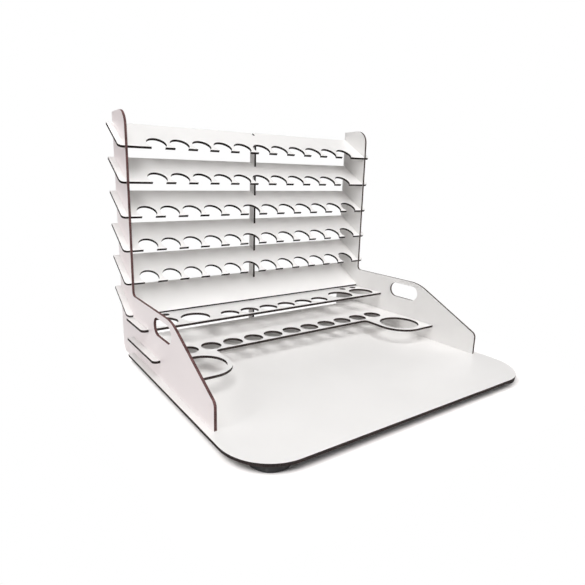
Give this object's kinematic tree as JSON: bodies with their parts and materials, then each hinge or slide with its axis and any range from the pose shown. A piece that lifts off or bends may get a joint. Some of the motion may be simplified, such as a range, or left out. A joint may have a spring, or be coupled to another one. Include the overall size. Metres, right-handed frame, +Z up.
{
  "type": "hobby workstation organizer",
  "caption": "Desktop hobby organizer: white board with rounded front corners, two side panels with hand holes, tilted tiers with bottle notches and level shelves with round holes.",
  "frame": {"origin": "on the table, under the middle of the footprint", "axes": "+X to the user's right, +Y to the back, away from the user, +Z up"},
  "size_m": [0.4, 0.3454, 0.307],
  "materials": {
    "laminate": "satin",
    "rubber": "matte"
  },
  "bodies": {
    "root": {"base_board": "laminate", "left_side_panel": "laminate", "right_side_panel": "laminate", "centre_brace": "laminate", "tier_1": "laminate", "tier_2": "laminate", "tier_3": "laminate", "tier_4": "laminate", "tier_5": "laminate", "tier_6": "laminate", "middle_shelf": "laminate", "front_shelf": "laminate", "foot_front_left": "rubber", "foot_front_right": "rubber", "foot_rear_left": "rubber", "foot_rear_right": "rubber"}
  },
  "joints": []
}
